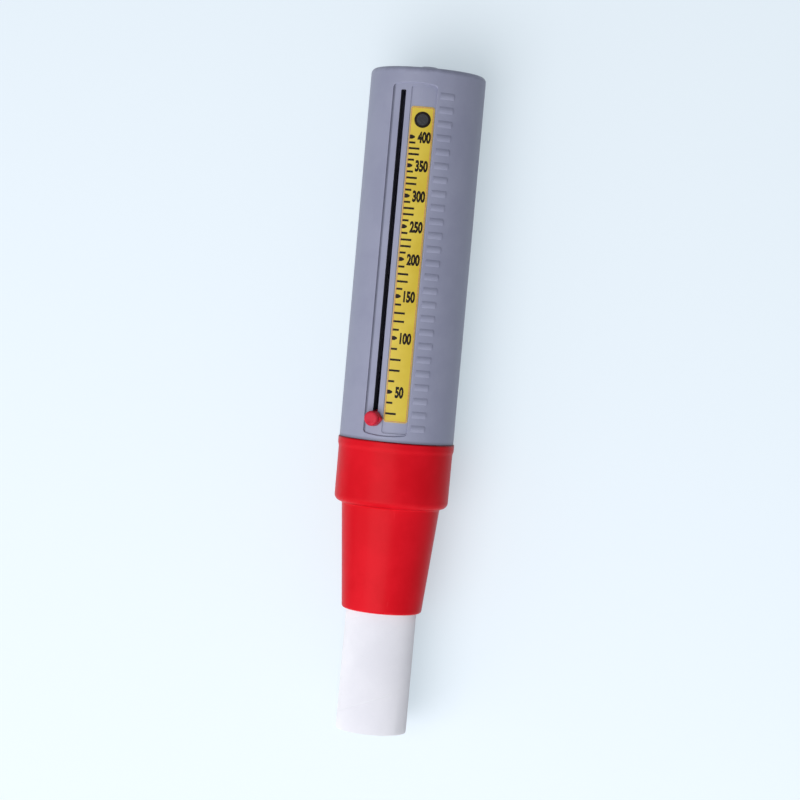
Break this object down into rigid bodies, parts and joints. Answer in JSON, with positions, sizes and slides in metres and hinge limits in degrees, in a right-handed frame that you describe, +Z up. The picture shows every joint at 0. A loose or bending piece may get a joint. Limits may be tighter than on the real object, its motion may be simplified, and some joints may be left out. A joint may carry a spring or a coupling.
{
  "type": "peak flow meter",
  "caption": "Hand-held low range peak flow meter: tubular body with a slotted scale and sliding pointer, tapered mouthpiece adapter and push-in card mouthpiece.",
  "frame": {"origin": "on the surface under the meter as it lies on its back, below the middle of its overall box", "axes": "+Y along the meter's axis from the mouthpiece to the vent end, +Z up out of the scale, +X to the reader's right"},
  "size_m": [0.0346, 0.1978, 0.0369],
  "materials": {
    "grey_plastic": "satin moulded ABS",
    "red_plastic": "glossy moulded ABS",
    "pointer_red": "glossy moulded plastic",
    "label_film": "printed self-adhesive film",
    "card": "wound white card",
    "white_plastic": "natural moulded acetal",
    "steel": "ground stainless steel",
    "rubber": "soft black rubber"
  },
  "bodies": {
    "meter_body": {"body_tube": "grey_plastic", "scale_label": "label_film", "mouthpiece_adapter": "red_plastic", "adapter_gasket": "rubber", "rod_carrier": "white_plastic", "guide_rod": "steel", "rod_washer": "steel", "rod_nut": "steel", "rod_clip": "steel", "return_spring": "steel", "rest_buffer": "rubber", "end_buffer": "rubber"},
    "piston_body": {"piston": "white_plastic"},
    "pointer_body": {"pointer_knob": "pointer_red", "pointer_shoe": "pointer_red", "friction_leaf": "steel"},
    "mouthpiece_body": {"mouthpiece": "card"}
  },
  "joints": [
    {"name": "piston_slide", "type": "slide", "parent": "meter_body", "child": "piston_body", "axis": [0, 1, 0], "range_m": [0, 0.094], "stiffness_N_per_m": 6, "springref_m": -0.02, "deforming": ["return_spring"]},
    {"name": "pointer_slide", "type": "slide", "parent": "meter_body", "child": "pointer_body", "axis": [0, 1, 0], "range_m": [0, 0.094]},
    {"name": "mouthpiece_pull", "type": "slide", "parent": "meter_body", "child": "mouthpiece_body", "axis": [0, -1, 0], "range_m": [0, 0.045]}
  ],
  "couplings": [
    {"joint": "pointer_slide", "follows": "piston_slide", "ratio": 1}
  ]
}
